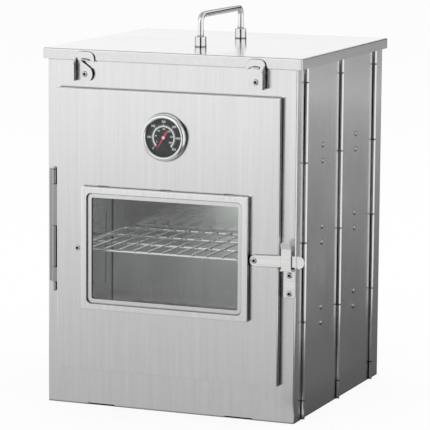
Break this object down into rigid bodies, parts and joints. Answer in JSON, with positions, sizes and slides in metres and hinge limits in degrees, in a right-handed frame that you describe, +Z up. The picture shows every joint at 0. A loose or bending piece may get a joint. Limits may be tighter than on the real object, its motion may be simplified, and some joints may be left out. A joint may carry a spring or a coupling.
{
  "type": "folding camp oven",
  "caption": "Folding sheet-steel camp oven with a lift-off lid, glazed hinged door, dial thermometer, swinging latch and sliding wire racks.",
  "frame": {"origin": "on the ground, below the middle of the whole set-up oven's bounding box", "axes": "+X to the oven's right seen from the door, +Y from the door to the back, +Z up"},
  "size_m": [0.3212, 0.3094, 0.4458],
  "materials": {
    "steel": "brushed upright, satin",
    "hardware": "plain turned and pressed steel",
    "bright": "polished",
    "wire": "plated wire",
    "glass": "clear heat-resisting glass",
    "gasket": "matt silicone",
    "dial": "matt dark dial",
    "needle": "red needle"
  },
  "bodies": {
    "housing": {"front_panel": "steel", "rear_panel": "steel", "right_front_leaf": "steel", "right_rear_leaf": "steel", "left_front_leaf": "steel", "left_rear_leaf": "steel", "right_front_pin": "hardware", "right_middle_pin": "hardware", "right_rear_pin": "hardware", "left_front_pin": "hardware", "left_middle_pin": "hardware", "left_rear_pin": "hardware", "right_front_ledges": "steel", "right_rear_ledges": "steel", "left_front_ledges": "steel", "left_rear_ledges": "steel", "floor_tray": "steel", "clip_spacers": "hardware", "clip_rivets": "hardware", "hinge_leaf_fixed": "steel", "door_hinge_pin": "hardware", "latch_keeper": "steel", "keeper_rivets": "hardware"},
    "lid": {"lid_shell": "steel", "lid_handle": "bright", "handle_collars": "bright", "handle_nuts": "hardware"},
    "left_clip": {"clip_left": "steel"},
    "right_clip": {"clip_right": "steel"},
    "door": {"door_panel": "steel", "hinge_leaf_door": "steel", "window_bezel": "steel", "window_frame": "steel", "window_glass": "glass", "window_gasket": "gasket", "thermometer_case": "bright", "thermometer_ring": "bright", "thermometer_dial": "dial", "thermometer_lens": "glass", "thermometer_stem": "hardware", "thermometer_nut": "hardware", "door_rivet": "hardware", "pivot_rivet": "hardware"},
    "pointer": {"thermometer_pointer": "needle"},
    "latch": {"latch_lever": "steel"},
    "top_rack": {"upper_rack": "wire"},
    "bottom_rack": {"lower_rack": "wire"}
  },
  "joints": [
    {"name": "lid_lift", "type": "slide", "parent": "housing", "child": "lid", "axis": [0, 0, 1], "range_m": [0, 0.15]},
    {"name": "door_hinge", "type": "hinge", "parent": "housing", "child": "door", "pos_m": [-0.1457, -0.1401, 0.2], "axis": [0, 0, -1], "range_deg": [0, 135]},
    {"name": "latch_pivot", "type": "hinge", "parent": "door", "child": "latch", "pos_m": [0.1003, -0.147, 0.1824], "axis": [0, -1, 0], "range_deg": [-4, 75]},
    {"name": "left_clip_pivot", "type": "hinge", "parent": "housing", "child": "left_clip", "pos_m": [-0.1076, -0.1401, 0.3785], "axis": [0, -1, 0], "range_deg": [0, 80]},
    {"name": "right_clip_pivot", "type": "hinge", "parent": "housing", "child": "right_clip", "pos_m": [0.0974, -0.1401, 0.3785], "axis": [0, 1, 0], "range_deg": [0, 80]},
    {"name": "top_rack_slide", "type": "slide", "parent": "housing", "child": "top_rack", "axis": [0, -1, 0], "range_m": [0, 0.016]},
    {"name": "bottom_rack_slide", "type": "slide", "parent": "housing", "child": "bottom_rack", "axis": [0, -1, 0], "range_m": [0, 0.016]},
    {"name": "pointer_spindle", "type": "hinge", "parent": "door", "child": "pointer", "pos_m": [-0.0073, -0.1511, 0.3131], "axis": [0, 1, 0], "range_deg": [0, 280], "stiffness_Nm_per_rad": 0.001}
  ]
}
